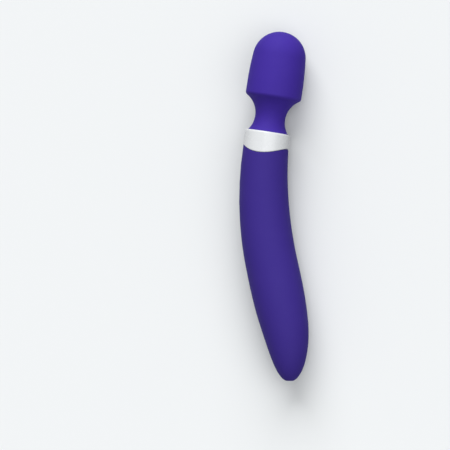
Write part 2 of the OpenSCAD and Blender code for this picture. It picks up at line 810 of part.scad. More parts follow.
module head_shell_lower() {
    top_in = side_r(shell_in, head_split_y);
    top_out = side_r(shell_out, head_split_y);
    lap = top_in + shell_wall / 2;
    color(grey_plastic) placed() difference() {
        union() {
            turned(concat(
                shoulder_outline(shell_out, head_floor_y),
                [[top_out, head_split_y], [lap, head_split_y], [lap, head_split_y + lap_h]],
                [[top_in, head_split_y + lap_h], [top_in, head_split_y]],
                reversed(shoulder_outline(shell_in, head_floor_y + head_floor)),
                [[0, head_floor_y + head_floor], [0, head_floor_y]]
            ));
            disc(head_floor_y - boss_h, boss_h + eps, boss_r);
        }
        disc(head_floor_y - boss_h - 1, boss_h + head_floor + 2, wire_bore_d / 2);
    }
}

module head_shell_upper() {
    low = head_split_y + seam_gap;
    lap = side_r(shell_in, head_split_y) + shell_wall / 2 + pin_gap;
    lap_top = head_split_y + lap_h + seam_gap;
    color(grey_plastic) placed()
        turned(concat(
            dome_outline(shell_out, low),
            reversed(dome_outline(shell_in, lap_top)),
            [[lap, lap_top], [lap, low]]
        ));
}

module motor_can() {
    color(steel) placed() difference() {
        disc(can_y, can_len, motor_r);
        disc(can_y - 1, can_len - can_wall + 1, motor_r - can_wall);
        disc(can_y, can_len + 1, bush_r + pin_gap);
    }
}

module motor_end_cap() {
    color(black_plastic) placed() difference() {
        union() {
            disc(motor_y, cap_h, motor_r);
            disc(can_y - eps, can_wall + eps, motor_r - can_wall - pin_gap);
        }
        disc(motor_y - 1, cap_h + can_wall + 2, bush_r + pin_gap);
    }
}

module motor_magnets() {
    out = motor_r - can_wall - pin_gap;
    color([0.3, 0.3, 0.32]) placed() upright() for (turn = [0, 180])
        rotate([0, 0, turn - magnet_a / 2]) translate([0, 0, armature_y])
            rotate_extrude(angle = magnet_a) translate([out - magnet_t, 0]) square([magnet_t, armature_len]);
}

module motor_bushes() {
    color(brass) placed() for (y = [motor_y, bush_top - bush_h]) difference() {
        disc(y, bush_h, bush_r);
        disc(y - 1, bush_h + 2, shaft_r + run_gap);
    }
}

module motor_terminals() {
    color(brass) placed() for (side = [-1, 1])
        translate([-wire_d, motor_y - terminal_room / 2, side * (motor_r / 2 + wire_d) - wire_d / 4])
            cube([2 * wire_d, terminal_room / 2, wire_d / 2]);
}

module motor_rings() {
    color(dark_rubber) placed() for (y = [can_y + ring_in, can_top - ring_in - ring_h]) difference() {
        disc(y, ring_h, min(side_r(shell_in, y), side_r(shell_in, y + ring_h)) - seat_gap);
        disc(y - 1, ring_h + 2, motor_r + pin_gap);
    }
}

module motor_shaft() {
    color(steel) placed() disc(shaft_end_y, shaft_top - shaft_end_y, shaft_r);
}

module motor_armature() {
    color(brass) placed() difference() {
        disc(armature_y, armature_len, armature_d / 2);
        disc(armature_y - 1, armature_len + 2, shaft_r + pin_gap);
    }
}

module eccentric_weight() {
    color(steel) placed() difference() {
        union() {
            disc(weight_y, weight_h, weight_hub_d / 2);
            intersection() {
                disc(weight_y, weight_h, weight_r);
                translate([-weight_r, weight_y, -weight_r]) cube([2 * weight_r, weight_h, weight_r]);
            }
        }
        disc(weight_y - 1, weight_h + 2, shaft_r + pin_gap);
    }
}

head_cover();
neck_sleeve();
collar_ring();
handle_sleeve();
power_key();
plus_key();
minus_key();
power_plunger();
plus_plunger();
minus_plunger();
light_pipe();
status_lamp();
circuit_board();
tact_switches();
board_chips();
shell_front();
shell_back();
shell_screws();
neck_base();
mid_bulkhead();
tail_bulkhead();
battery_cell();
battery_pads();
battery_leads();
charge_leads();
charge_jack();
jack_tabs();
jack_seal();
neck_spring();
motor_leads();
head_shell_lower();
head_shell_upper();
motor_can();
motor_end_cap();
motor_magnets();
motor_bushes();
motor_terminals();
motor_rings();
motor_shaft();
motor_armature();
eccentric_weight();
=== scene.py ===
import json
import math

import bmesh
import bpy
import numpy as np
from mathutils import Matrix, Vector


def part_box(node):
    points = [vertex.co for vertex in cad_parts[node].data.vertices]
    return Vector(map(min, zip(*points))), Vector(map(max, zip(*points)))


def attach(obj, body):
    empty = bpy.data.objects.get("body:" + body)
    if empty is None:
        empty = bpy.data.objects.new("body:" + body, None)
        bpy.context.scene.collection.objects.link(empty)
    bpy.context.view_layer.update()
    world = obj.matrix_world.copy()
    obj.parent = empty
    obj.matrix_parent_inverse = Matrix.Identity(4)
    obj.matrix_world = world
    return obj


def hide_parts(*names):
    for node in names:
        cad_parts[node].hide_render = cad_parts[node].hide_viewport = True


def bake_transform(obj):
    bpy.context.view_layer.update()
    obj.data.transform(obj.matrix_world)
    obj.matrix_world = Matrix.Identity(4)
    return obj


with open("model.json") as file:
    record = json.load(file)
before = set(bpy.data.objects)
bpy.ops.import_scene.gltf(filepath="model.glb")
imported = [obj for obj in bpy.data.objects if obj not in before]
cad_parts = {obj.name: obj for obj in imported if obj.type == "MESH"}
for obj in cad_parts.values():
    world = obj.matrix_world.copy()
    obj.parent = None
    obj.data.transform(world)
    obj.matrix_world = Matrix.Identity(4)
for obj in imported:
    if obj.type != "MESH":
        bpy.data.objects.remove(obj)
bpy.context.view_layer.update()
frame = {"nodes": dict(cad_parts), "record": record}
nodes = frame["nodes"]
print("frame loaded:", len(nodes), "CAD nodes")

# The wand's own frame: millimetres from the middle of the collar's upper edge,
# +Y up the head, +X the hollow side of the handle, +Z up from the floor.
collarLow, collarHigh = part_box("collar_ring")
wandOrigin = np.array([
    (collarLow.x + collarHigh.x) / 2, collarHigh.y, (collarLow.z + collarHigh.z) / 2])


def inFrame(points):
    return np.asarray(points, float) / 1000 + wandOrigin


def inWand(corner):
    return (np.asarray(corner) - wandOrigin) * 1000


def hexLinear(code):
    parts = [int(code[i:i + 2], 16) / 255 for i in (1, 3, 5)]
    return [c / 12.92 if c <= 0.04045 else ((c + 0.055) / 1.055) ** 2.4 for c in parts] + [1.0]


def addNode(tree, kind, inputs=None, **settings):
    node = tree.nodes.new(kind)
    for name, value in settings.items():
        setattr(node, name, value)
    for socket, value in (inputs or {}).items():
        if isinstance(value, bpy.types.NodeSocket):
            tree.links.new(value, node.inputs[socket])
        else:
            node.inputs[socket].default_value = value
    return node


# The photograph's view: from above, a little round to the handle's hollow side.
view = {
    "place": (0.52225, 0.00147, 1.68235),  # metres in the shared frame
    "aim": (-0.32013, -0.01280, -0.94729), "up": (-0.14638, 0.98857, 0.03611),
    "lens": 188.2, "sensor": 36,  # mm
    "clip": (0.05, 20),  # metres
}
cameraData = bpy.data.cameras.new("camera")
cameraData.lens, cameraData.sensor_width = view["lens"], view["sensor"]
cameraData.clip_start, cameraData.clip_end = view["clip"]
camera = bpy.data.objects.new("camera", cameraData)
bpy.context.scene.collection.objects.link(camera)
back = -Vector(view["aim"]).normalized()
right = Vector(view["up"]).cross(back).normalized()
turn = Matrix((right, back.cross(right), back)).transposed().to_4x4()
camera.matrix_world = Matrix.Translation(view["place"]) @ turn
bpy.context.scene.camera = camera
print("camera set")


def perMm(size):
    return 1000 / size  # texture scale for features about this many mm across


# What a finish has unless its own dictionary says otherwise: how far its noises break up,
# the span of noise that runs over its roughness, and how ragged its bands are.
plainFinish = {
    "cloudDetail": 3.0, "cloudBreak": 0.5, "wearDetail": 2.0, "wearSpan": (0.3, 0.7),
    "reliefDetail": 2.0, "reliefStrength": 0.6, "bandRagged": 0.4,
}


def makeMaterial(ownFinish):
    finish = {**plainFinish, **ownFinish}
    material = bpy.data.materials.new(finish["name"])
    material.use_nodes = True
    tree = material.node_tree
    shader = tree.nodes["Principled BSDF"]
    place = addNode(tree, "ShaderNodeTexCoord").outputs["Object"]
    drawn = place
    if "stretch" in finish:
        drawn = addNode(tree, "ShaderNodeMapping", {
            "Vector": place, "Scale": finish["stretch"]}).outputs["Vector"]
    cloud = addNode(tree, "ShaderNodeTexNoise", {
        "Vector": drawn, "Scale": perMm(finish["cloudMm"]),
        "Detail": finish["cloudDetail"], "Roughness": finish["cloudBreak"]}).outputs["Fac"]
    share = wear = cloud
    if "bandMm" in finish:
        bands = addNode(tree, "ShaderNodeTexWave", {
            "Vector": place, "Scale": perMm(finish["bandMm"]) * math.pi / 10,  # one wave per band
            "Distortion": finish["bandRagged"]}, wave_type="BANDS", bands_direction="Y")
        share = addNode(tree, "ShaderNodeMath", {
            0: bands.outputs["Fac"], 1: cloud}, operation="MULTIPLY").outputs[0]
    if "wearMm" in finish:
        wear = addNode(tree, "ShaderNodeTexNoise", {
            "Vector": drawn, "Scale": perMm(finish["wearMm"]),
            "Detail": finish["wearDetail"]}).outputs["Fac"]
    tone = addNode(tree, "ShaderNodeMix", {
        "Factor": share, "A": hexLinear(finish["colours"][0]),
        "B": hexLinear(finish["colours"][1])}, data_type="RGBA")
    lustre = addNode(tree, "ShaderNodeMapRange", {
        "Value": wear, "From Min": finish["wearSpan"][0], "From Max": finish["wearSpan"][1],
        "To Min": finish["roughness"][0], "To Max": finish["roughness"][1]})
    height = addNode(tree, "ShaderNodeTexNoise", {
        "Vector": drawn, "Scale": perMm(finish["reliefMm"]), "Detail": finish["reliefDetail"]})
    relief = addNode(tree, "ShaderNodeBump", {
        "Height": height.outputs["Fac"], "Distance": finish["reliefDepthMm"] / 1000,
        "Strength": finish["reliefStrength"]})
    tree.links.new(tone.outputs["Result"], shader.inputs["Base Color"])
    tree.links.new(lustre.outputs["Result"], shader.inputs["Roughness"])
    tree.links.new(relief.outputs["Normal"], shader.inputs["Normal"])
    for socket, entry in (("IOR", "ior"), ("Specular IOR Level", "specular"),
                          ("Metallic", "metallic"), ("Transmission Weight", "seeThrough")):
        if entry in finish:
            shader.inputs[socket].default_value = finish[entry]
    return material


# Moulded silicone, matte from a blasted mould: deep even purple, no clear highlight, a faint
# cloudy tone and a fine grain. The real grain, about 0.1 mm, is drawn coarser so that it shows.
silicone = {
    "cloudMm": 17, "cloudBreak": 0.55, "roughness": (0.7, 0.76), "wearMm": 12,
    "reliefMm": 1.1, "reliefDepthMm": 0.02, "ior": 1.41, "specular": 0.3,
}
headSilicone = makeMaterial({
    **silicone, "name": "headMouldedSilicone", "colours": ("#38228f", "#3c2594")})
handleSilicone = makeMaterial({  # the same silicone as the head's, its colours set a shade darker
    **silicone, "name": "handleMouldedSilicone", "colours": ("#32217c", "#35237f")})
print("silicone materials made")

weldDistance = 1e-7  # metres, joins the points of rings that shrink to one spot


def makePiece(name, points, faces, material, sharpAngle=38):
    mesh = bpy.data.meshes.new(name)
    mesh.from_pydata(inFrame(points).tolist(), [], faces)
    work = bmesh.new()
    work.from_mesh(mesh)
    bmesh.ops.remove_doubles(work, verts=work.verts, dist=weldDistance)
    bmesh.ops.recalc_face_normals(work, faces=work.faces)
    work.to_mesh(mesh)
    work.free()
    mesh.shade_smooth()
    mesh.set_sharp_from_angle(angle=math.radians(sharpAngle))
    mesh.materials.append(material)
    piece = bpy.data.objects.new(name, mesh)
    bpy.context.scene.collection.objects.link(piece)
    return piece


def loftFaces(ringCount, ringSize, closed):
    faces = []
    for i in range(ringCount if closed else ringCount - 1):
        low, high = i * ringSize, (i + 1) % ringCount * ringSize
        for j in range(ringSize):
            k = (j + 1) % ringSize
            faces.append((low + j, low + k, high + k, high + j))
    return faces


def anglesRound(sides):
    return np.arange(sides) * 2 * math.pi / sides


def turned(profile, sides):
    angles = anglesRound(sides)
    return np.concatenate([
        np.stack([r * np.cos(angles), np.full(sides, y), r * np.sin(angles)], 1)
        for r, y in profile])


def arcPoints(centre, radius, start, end, count):
    angles = np.radians(np.linspace(start, end, count))
    return [(centre[0] + radius * math.cos(a), centre[1] + radius * math.sin(a)) for a in angles]


# Head and neck: one silicone skin, built as two pieces that meet at the narrowest ring.
head = {
    "radius": 20.8, "tip": 75.0, "wideAt": 34.0, "sideArc": 220.0, "shoulder": 2.9,
    "neckRadius": 11.25, "neckAt": 10.7, "neckArc": 17.2, "neckEnd": -0.6, "neckStep": 0.35,
    "skin": 2.0, "lipRadius": 15.1, "lipDepth": 4.0, "meetAt": 11.0,
    "swayFrom": 2.0, "nodTo": 20.0, "sides": 128, "sharpAngle": 50,
    "flarePoints": 60, "shoulderPoints": 20, "sidePoints": 30, "domePoints": 44,
}
domeRun = head["tip"] - head["wideAt"]
sideX = head["radius"] - head["sideArc"]
domeRadius = (
    head["sideArc"] ** 2 - sideX ** 2 - domeRun ** 2) / (2 * (head["sideArc"] - domeRun))
domeAt = head["tip"] - domeRadius
domeAngle = math.degrees(math.atan2(domeAt - head["wideAt"], -sideX))
neckX = head["neckRadius"] + head["neckArc"]
shoulderX = head["radius"] - head["shoulder"]
shoulderRise = math.sqrt((head["neckArc"] + head["shoulder"]) ** 2 - (neckX - shoulderX) ** 2)
shoulderAt = head["neckAt"] + shoulderRise
shoulderAngle = math.degrees(math.atan2(shoulderRise, shoulderX - neckX))


def neckRadiusAt(height):
    return neckX - math.sqrt(head["neckArc"] ** 2 - (height - head["neckAt"]) ** 2)


# The head's outline from the meeting ring to the tip: flare, shoulder, side and dome.
def headOutline(inset):
    flare = head["neckArc"] + inset
    flareEnd = 180 + math.degrees(math.asin((head["neckAt"] - head["meetAt"]) / flare))
    points = arcPoints(
        (neckX, head["neckAt"]), flare, shoulderAngle, flareEnd, head["flarePoints"])[::-1]
    points += arcPoints(
        (shoulderX, shoulderAt), head["shoulder"] - inset, shoulderAngle - 180, 0,
        head["shoulderPoints"])[1:]
    points += arcPoints(
        (sideX, head["wideAt"]), head["sideArc"] - inset, 0, domeAngle, head["sidePoints"])
    points += arcPoints((0, domeAt), domeRadius - inset, domeAngle, 90, head["domePoints"])[1:]
    points[-1] = (0.0, points[-1][1])
    return points


headProfile = headOutline(head["skin"])[::-1] + headOutline(0)
headSkin = makePiece(
    "headSkin", turned(headProfile, head["sides"]),
    loftFaces(len(headProfile), head["sides"], False), headSilicone, head["sharpAngle"])

heights = np.arange(head["meetAt"], head["neckEnd"], -head["neckStep"])
outerNeck = [(min(neckRadiusAt(y), head["lipRadius"]), y) for y in heights]
outerNeck.append((head["lipRadius"], -head["lipDepth"]))
innerNeck = [(r - head["skin"], y) for r, y in outerNeck]
neckProfile = outerNeck + innerNeck[::-1]
neckSkin = makePiece(
    "neckSkin", turned(neckProfile, head["sides"]),
    loftFaces(len(neckProfile), head["sides"], True), headSilicone, head["sharpAngle"])

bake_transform(neckSkin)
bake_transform(headSkin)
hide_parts("head_cover")
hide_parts("neck_sleeve")
print("head and neck skin built")

# Handle: the centre line bends, runs straight and bends slightly back; s counts down it.
handle = {
    "topRadius": 16.3, "wideRadius": 19.35, "wideAt": 112.7,
    "tailLength": 73.9, "tailBlunt": 0.92,  # 1 is an ellipse, less is blunter
    "bendRadius": 262.0, "bendAngle": math.radians(21.7), "straight": 42.0,
    "tailBendRadius": 182.0, "skin": 2.0, "portRadius": 2.1, "portRound": 0.5,
    "edgeRound": 0.4, "evenFrom": 24.0, "sides": 160, "sharpAngle": 45,
    "edgeRows": 6, "scallopRows": 15, "upperRows": 90, "tailSamples": 400, "tailRows": 96,
    "portRows": 16, "innerTailRows": 60, "innerUpperRows": 40, "innerScallopRows": 8,
}
bendEnd = handle["bendRadius"] * handle["bendAngle"]
tailStart = bendEnd + handle["straight"]


def skinRadius(s, depth=0):
    upper = handle["topRadius"] - depth + (handle["wideRadius"] - handle["topRadius"]) * np.sin(
        math.pi / 2 * np.minimum(s / handle["wideAt"], 1))
    share = np.clip((s - handle["wideAt"]) / (handle["tailLength"] - depth), 0, 1)
    return upper * (1 - share ** 2) ** (handle["tailBlunt"] / 2)


def onHandle(s, angle, radius):
    s = np.asarray(s, float)
    full = handle["bendAngle"]
    bent = np.minimum(s, bendEnd) / handle["bendRadius"]
    run = np.clip(s - bendEnd, 0, handle["straight"])
    heading = bent - np.maximum(s - tailStart, 0) / handle["tailBendRadius"]
    past = np.where(s > tailStart, heading, full)
    x = handle["bendRadius"] * (1 - np.cos(bent)) + run * math.sin(full)
    y = -handle["bendRadius"] * np.sin(bent) - run * math.cos(full)
    x = x + handle["tailBendRadius"] * (np.cos(past) - math.cos(full))
    y = y - handle["tailBendRadius"] * (math.sin(full) - np.sin(past))
    out = radius * np.cos(angle)
    return np.stack(np.broadcast_arrays(
        x + out * np.cos(heading), y + out * np.sin(heading), radius * np.sin(angle)), -1)


def ringsOnHandle(rows, angles):
    return np.concatenate([onHandle(s, angles, radius) for s, radius in rows])


# Injection-moulded ABS, polished mould: white and glossy, bright along its rounded edges,
# with the slow waviness of a moulding in its reflections.
collarPlastic = makeMaterial({
    "name": "polishedWhiteAbs", "colours": ("#d7d9db", "#dddfe1"), "cloudMm": 22,
    "cloudDetail": 2.0, "roughness": (0.24, 0.3), "wearMm": 6, "wearDetail": 4.0,
    "wearSpan": (0.35, 0.7), "reliefMm": 8, "reliefDepthMm": 0.004, "reliefDetail": 1.0,
    "reliefStrength": 0.5, "ior": 1.53,
})

# Collar: a ring whose lower edge is scalloped by a cylinder across the handle.
collar = {
    "bore": 15.31, "boreRound": 0.15, "sideHeight": 10.8, "faceHeight": 15.8, "seam": 0.15,
    "topRound": 1.2, "lowRound": 0.7, "lowStep": 0.02, "proud": 0.1,
    "sides": 192, "rows": 22, "topRows": 7, "lowRows": 6, "sharpAngle": 50,
    "searchSpan": (4.0, 26.0), "searchRounds": 50,
}
collarRadius = float(skinRadius(collar["sideHeight"]))
scallopDrop = collar["faceHeight"] - collar["sideHeight"]
scallopRadius = (collarRadius ** 2 + scallopDrop ** 2) / (2 * scallopDrop)
scallopAt = scallopRadius - collar["faceHeight"]


def scallopEdge(angles, gap):
    low, high = (np.full(len(angles), end) for end in collar["searchSpan"])
    for _ in range(collar["searchRounds"]):
        middle = (low + high) / 2
        spot = onHandle(middle, angles, skinRadius(middle))
        outside = np.hypot(spot[:, 0], spot[:, 1] - scallopAt) > scallopRadius + gap
        low, high = np.where(outside, low, middle), np.where(outside, middle, high)
    return (low + high) / 2


collarAngles = anglesRound(collar["sides"])
collarEdge = scallopEdge(collarAngles, 0)
lowRadius = skinRadius(collarEdge) + collar["proud"]
topRadius = collarRadius + collar["proud"]
rows = [(collarEdge - collar["lowStep"], collar["bore"])]
for lean in np.linspace(0, math.pi / 2, collar["lowRows"]):
    rows.append((collarEdge - collar["lowRound"] * (1 - math.cos(lean)),
                 lowRadius - collar["lowRound"] * (1 - math.sin(lean))))
for share in np.linspace(0, 1, collar["rows"])[1:-1]:
    s = (collarEdge - collar["lowRound"]) * (1 - share) + collar["topRound"] * share
    rows.append((s, lowRadius * (1 - share) + topRadius * share))
for lean in np.linspace(math.pi / 2, 0, collar["topRows"]):
    rows.append((collar["topRound"] * (1 - math.cos(lean)),
                 topRadius - collar["topRound"] * (1 - math.sin(lean))))
rows.append((0, collar["bore"] + collar["boreRound"]))
rows.append((collar["boreRound"], collar["bore"]))
collarBand = makePiece(
    "collarBand", ringsOnHandle(rows, collarAngles),
    loftFaces(len(rows), collar["sides"], True), collarPlastic, collar["sharpAngle"])
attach(collarBand, "handle")
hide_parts("collar_ring")
print("collar built")

# The handle's skin starts with a rounded edge that follows the collar's scallop.
handleAngles = anglesRound(handle["sides"])
handleEdge = scallopEdge(handleAngles, collar["seam"])
rows = []
for lean in np.linspace(0, math.pi / 2, handle["edgeRows"]):
    s = handleEdge + handle["edgeRound"] * (1 - math.cos(lean))
    rows.append((s, skinRadius(s) - handle["edgeRound"] * (1 - math.sin(lean))))
for share in np.linspace(0, 1, handle["scallopRows"])[1:]:
    s = (handleEdge + handle["edgeRound"]) * (1 - share) + handle["evenFrom"] * share
    rows.append((s, skinRadius(s)))
for s in np.linspace(handle["evenFrom"], handle["wideAt"], handle["upperRows"])[1:]:
    rows.append((s, skinRadius(s)))
# The tail's curve runs on to a rounded rim that turns into the charging port.
leans = np.linspace(0, math.pi / 2, handle["tailSamples"])[:-1]
tailRun = handle["wideAt"] + handle["tailLength"] * np.sin(leans)
tailRadii = skinRadius(tailRun)
tilt = np.arctan2(np.gradient(tailRun), -np.gradient(tailRadii))
rimAt = int(np.argmin(abs(
    tailRadii - handle["portRound"] * (1 + np.sin(tilt)) - handle["portRadius"])))
for i in np.linspace(0, rimAt, handle["tailRows"]).round().astype(int)[1:]:
    rows.append((tailRun[i], tailRadii[i]))
rimMiddle = tailRun[rimAt] - handle["portRound"] * math.cos(tilt[rimAt])
for lean in np.linspace(tilt[rimAt], -math.pi / 2, handle["portRows"])[1:]:
    rows.append((rimMiddle + handle["portRound"] * math.cos(lean),
                 handle["portRadius"] + handle["portRound"] * (1 + math.sin(lean))))
innerEnd = rimMiddle - handle["skin"]
rows.append((innerEnd, handle["portRadius"]))
# The inner wall comes back up one skin's thickness inside, just clear of the shell.
innerTail = handle["tailLength"] - handle["skin"]
lastLean = math.asin((innerEnd - handle["wideAt"]) / innerTail)
innerRun = [handle["wideAt"] + innerTail * math.sin(lean)
            for lean in np.linspace(lastLean, 0, handle["innerTailRows"])]
innerRun += list(np.linspace(handle["wideAt"], handle["evenFrom"], handle["innerUpperRows"])[1:])
innerRun += [handle["evenFrom"] * (1 - share) + handleEdge * share
             for share in np.linspace(0, 1, handle["innerScallopRows"])[1:]]
rows += [(s, skinRadius(s, handle["skin"])) for s in innerRun]
handleSkin = makePiece(
    "handleSkin", ringsOnHandle(rows, handleAngles),
    loftFaces(len(rows), handle["sides"], True), handleSilicone, handle["sharpAngle"])

# Keys on the outer side of the bend, with round windows for them and for the light pipe.
keys = {
    "boardAt": 38.0, "pitch": 14.0, "radius": 4.4, "gap": 0.2, "proud": 0.2, "round": 0.45,
    "rimDepth": 5.15, "rimRadius": 5.1, "rimThick": 0.8, "stemRadius": 1.6, "stem": 0.3,
    "signDepth": 0.3, "signHalf": 2.2, "strokeHalf": 0.45, "signSoft": 0.07,
    "pipePitch": 7.5, "pipeRadius": 1.1, "pipeGap": 0.15, "pipeMouth": 0.15,
    "mouthRound": 0.3, "mouthLean": 78, "mouthFlush": 60,  # degrees: how far round, where flush
    "windowDepth": 4.0, "windowOver": 2.0, "surfaceRounds": 12,
    "sides": 96, "faceRows": 48, "roundRows": 7, "mouthRows": 8, "sharpAngle": 40,
}
boardTurn = keys["boardAt"] / handle["bendRadius"]
boardSpot = onHandle(keys["boardAt"], 0, 0)
downHandle = np.array([math.sin(boardTurn), -math.cos(boardTurn), 0])
outward = np.array([-math.cos(boardTurn), -math.sin(boardTurn), 0])
keyAngles = anglesRound(keys["sides"])


def overBoard(u, w, height):
    return (boardSpot + np.multiply.outer(u, downHandle) + np.multiply.outer(w, (0, 0, 1))
            + np.multiply.outer(height, outward))


def skinHeight(u, w):
    height = np.full(np.shape(u), handle["topRadius"])
    for _ in range(keys["surfaceRounds"]):
        spot = overBoard(u, w, height)
        reachX, reachY = handle["bendRadius"] - spot[..., 0], -spot[..., 1]
        s = handle["bendRadius"] * np.arctan2(reachY, reachX)
        fromLine = np.hypot(handle["bendRadius"] - np.hypot(reachX, reachY), w)
        height = height + skinRadius(s) - fromLine
    return height


def roundRow(middle, radius, lift):
    u, w = middle + radius * np.cos(keyAngles), radius * np.sin(keyAngles)
    return overBoard(u, w, skinHeight(u, w) + lift)


def windowRows(middle, radius, mouth):
    flush = math.sin(math.radians(keys["mouthFlush"]))
    rows = [roundRow(middle, r, -keys["windowDepth"]) for r in (0, radius)]
    for lean in np.linspace(0, math.radians(keys["mouthLean"]), keys["mouthRows"]):
        rows.append(roundRow(
            middle, radius + mouth * (1 - math.cos(lean)), mouth * (math.sin(lean) - flush)))
    return rows + [roundRow(middle, r, keys["windowOver"]) for r in (radius + mouth, 0)]


windows = [(place * keys["pitch"], keys["radius"] + keys["gap"], keys["mouthRound"])
           for place in (-1, 0, 1)]
windows.append((
    keys["pitch"] + keys["pipePitch"], keys["pipeRadius"] + keys["pipeGap"], keys["pipeMouth"]))
cutters = []
for number, window in enumerate(windows):
    rows = windowRows(*window)
    cutters.append(makePiece(
        "window%d" % number, np.concatenate(rows),
        loftFaces(len(rows), keys["sides"], False), handleSilicone))
    cut = handleSkin.modifiers.new("window", "BOOLEAN")
    cut.operation, cut.object, cut.solver = "DIFFERENCE", cutters[-1], "EXACT"
bpy.context.view_layer.update()
cutSkin = handleSkin.evaluated_get(bpy.context.evaluated_depsgraph_get())
cutMesh = bpy.data.meshes.new_from_object(cutSkin)
handleSkin.modifiers.clear()
handleSkin.data = cutMesh
cutMesh.name = "handleSkin"
cutMesh.shade_smooth()
cutMesh.set_sharp_from_angle(angle=math.radians(handle["sharpAngle"]))
for cutter in cutters:
    bpy.data.objects.remove(cutter)
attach(handleSkin, "handle")
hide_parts("handle_sleeve")
print("handle skin built")


def powerSign(u, w):
    return abs(np.hypot(u, w) - keys["signHalf"] + keys["strokeHalf"]) - keys["strokeHalf"]


def minusSign(u, w):
    return np.maximum(abs(w) - keys["signHalf"], abs(u) - keys["strokeHalf"])


def plusSign(u, w):
    return np.minimum(minusSign(u, w), minusSign(w, u))


for name, middle, sign in (("power", -keys["pitch"], powerSign), ("plus", 0, plusSign),
                           ("minus", keys["pitch"], minusSign)):
    rows = []
    for radius in np.linspace(0, keys["radius"] - keys["round"], keys["faceRows"]):
        u, w = radius * np.cos(keyAngles), radius * np.sin(keyAngles)
        inside = np.clip(0.5 - sign(u, w) / (2 * keys["signSoft"]), 0, 1)
        height = skinHeight(middle + u, w) + keys["proud"] - keys["signDepth"] * inside
        rows.append(overBoard(middle + u, w, height))
    for lean in np.linspace(0, math.pi / 2, keys["roundRows"])[1:]:
        rows.append(roundRow(
            middle, keys["radius"] - keys["round"] * (1 - math.sin(lean)),
            keys["proud"] - keys["round"] * (1 - math.cos(lean))))
    rimTop = skinHeight(middle, 0) - keys["rimDepth"]
    rimLow = rimTop - keys["rimThick"]
    stemLow = rimLow - keys["stem"]
    for radius, height in (
            (keys["radius"], rimTop), (keys["rimRadius"], rimTop), (keys["rimRadius"], rimLow),
            (keys["stemRadius"], rimLow), (keys["stemRadius"], stemLow), (0, stemLow)):
        u, w = middle + radius * np.cos(keyAngles), radius * np.sin(keyAngles)
        rows.append(overBoard(u, w, height))
    key = makePiece(
        name + "Key", np.concatenate(rows), loftFaces(len(rows), keys["sides"], False),
        handleSilicone, keys["sharpAngle"])
    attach(key, name)
    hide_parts(name + "_key")
print("keys built")

# What shows through the windows and the port, and what is inside, by the record's slots.
# Grains finer than about half a millimetre are drawn coarser, so that they show.
innerFinishes = {
    # moulded ABS, lightly blasted: dull grey with a fine grain
    "shell_plastic": {
        "name": "blastedGreyAbs", "colours": ("#58585e", "#4c4c52"), "cloudMm": 9,
        "roughness": (0.45, 0.6), "reliefMm": 0.9, "reliefDepthMm": 0.02, "ior": 1.53},
    # moulded glass-filled nylon: near black with a slight satin lustre
    "black_plastic": {
        "name": "mouldedBlackNylon", "colours": ("#17171a", "#0f0f11"), "cloudMm": 4,
        "roughness": (0.34, 0.46), "reliefMm": 0.6, "reliefDepthMm": 0.015, "ior": 1.53},
    # solder mask over etched copper on FR4: green with paler tracks
    "board": {
        "name": "solderMaskedBoard", "colours": ("#0f5a34", "#1c7346"), "cloudMm": 1.6,
        "bandMm": 1.2, "roughness": (0.25, 0.4), "reliefMm": 0.8, "reliefDepthMm": 0.03,
        "ior": 1.55},
    # drawn and plated steel: bright with fine lines along the draw
    "steel": {
        "name": "drawnPlatedSteel", "colours": ("#b9bbc0", "#9fa2a8"), "cloudMm": 1.5,
        "stretch": (8, 0.4, 8), "roughness": (0.22, 0.38), "reliefMm": 0.5,
        "reliefDepthMm": 0.006, "metallic": 1.0},
    # turned brass: warm, with fine lathe rings
    "brass": {
        "name": "turnedBrass", "colours": ("#c7a052", "#b08a3f"), "cloudMm": 1.2, "bandMm": 0.6,
        "roughness": (0.2, 0.34), "reliefMm": 0.4, "reliefDepthMm": 0.005, "metallic": 1.0},
    # stacked iron laminations with varnish: dark bands half a millimetre apart
    "armature_iron": {
        "name": "varnishedLaminations", "colours": ("#55504d", "#393634"), "cloudMm": 2,
        "bandMm": 0.5, "roughness": (0.4, 0.55), "reliefMm": 0.6, "reliefDepthMm": 0.02,
        "metallic": 1.0},
    # moulded nitrile rubber: black and dull
    "rubber": {
        "name": "mouldedNitrileRubber", "colours": ("#1b1b1b", "#121212"), "cloudMm": 5,
        "roughness": (0.7, 0.85), "reliefMm": 0.5, "reliefDepthMm": 0.02, "ior": 1.52},
    # heat-shrunk PVC sleeve over the cell: blue, slightly wavy and glossy
    "cell_can": {
        "name": "heatShrunkPvc", "colours": ("#2f6fb8", "#2a62a6"), "cloudMm": 7,
        "roughness": (0.2, 0.32), "reliefMm": 3, "reliefDepthMm": 0.04, "ior": 1.54},
    # extruded PVC insulation: red with a smooth drawn gloss
    "wire": {
        "name": "extrudedPvcWire", "colours": ("#b3201d", "#9c1a18"), "cloudMm": 3,
        "stretch": (1, 0.2, 1), "roughness": (0.3, 0.42), "reliefMm": 0.8,
        "reliefDepthMm": 0.01, "ior": 1.54},
    # moulded clear polycarbonate: see-through with a faintly blasted face
    "clear": {
        "name": "mouldedClearPolycarbonate", "colours": ("#e6e8ee", "#dadde6"), "cloudMm": 2,
        "roughness": (0.12, 0.25), "reliefMm": 0.4, "reliefDepthMm": 0.01, "ior": 1.58,
        "seeThrough": 0.9},
}
slotMaterials = {"silicone": handleSilicone, "white_gloss": collarPlastic}
for slot, finish in innerFinishes.items():
    slotMaterials[slot] = makeMaterial(finish)
for part in frame["record"]["subparts"]:
    solid = nodes[part["node"]].data
    solid.materials.clear()
    solid.materials.append(slotMaterials[part["material_slot"]])
print("inner finishes given to", len(nodes), "CAD nodes")


def ease(share):
    share = np.clip(share, 0, 1)
    return share * share * (3 - 2 * share)


# The neck spring and the motor leads are each built as two pieces, split at the ring where the
# skin's two pieces meet.
wireSides = 16
aroundWire = anglesRound(wireSides)

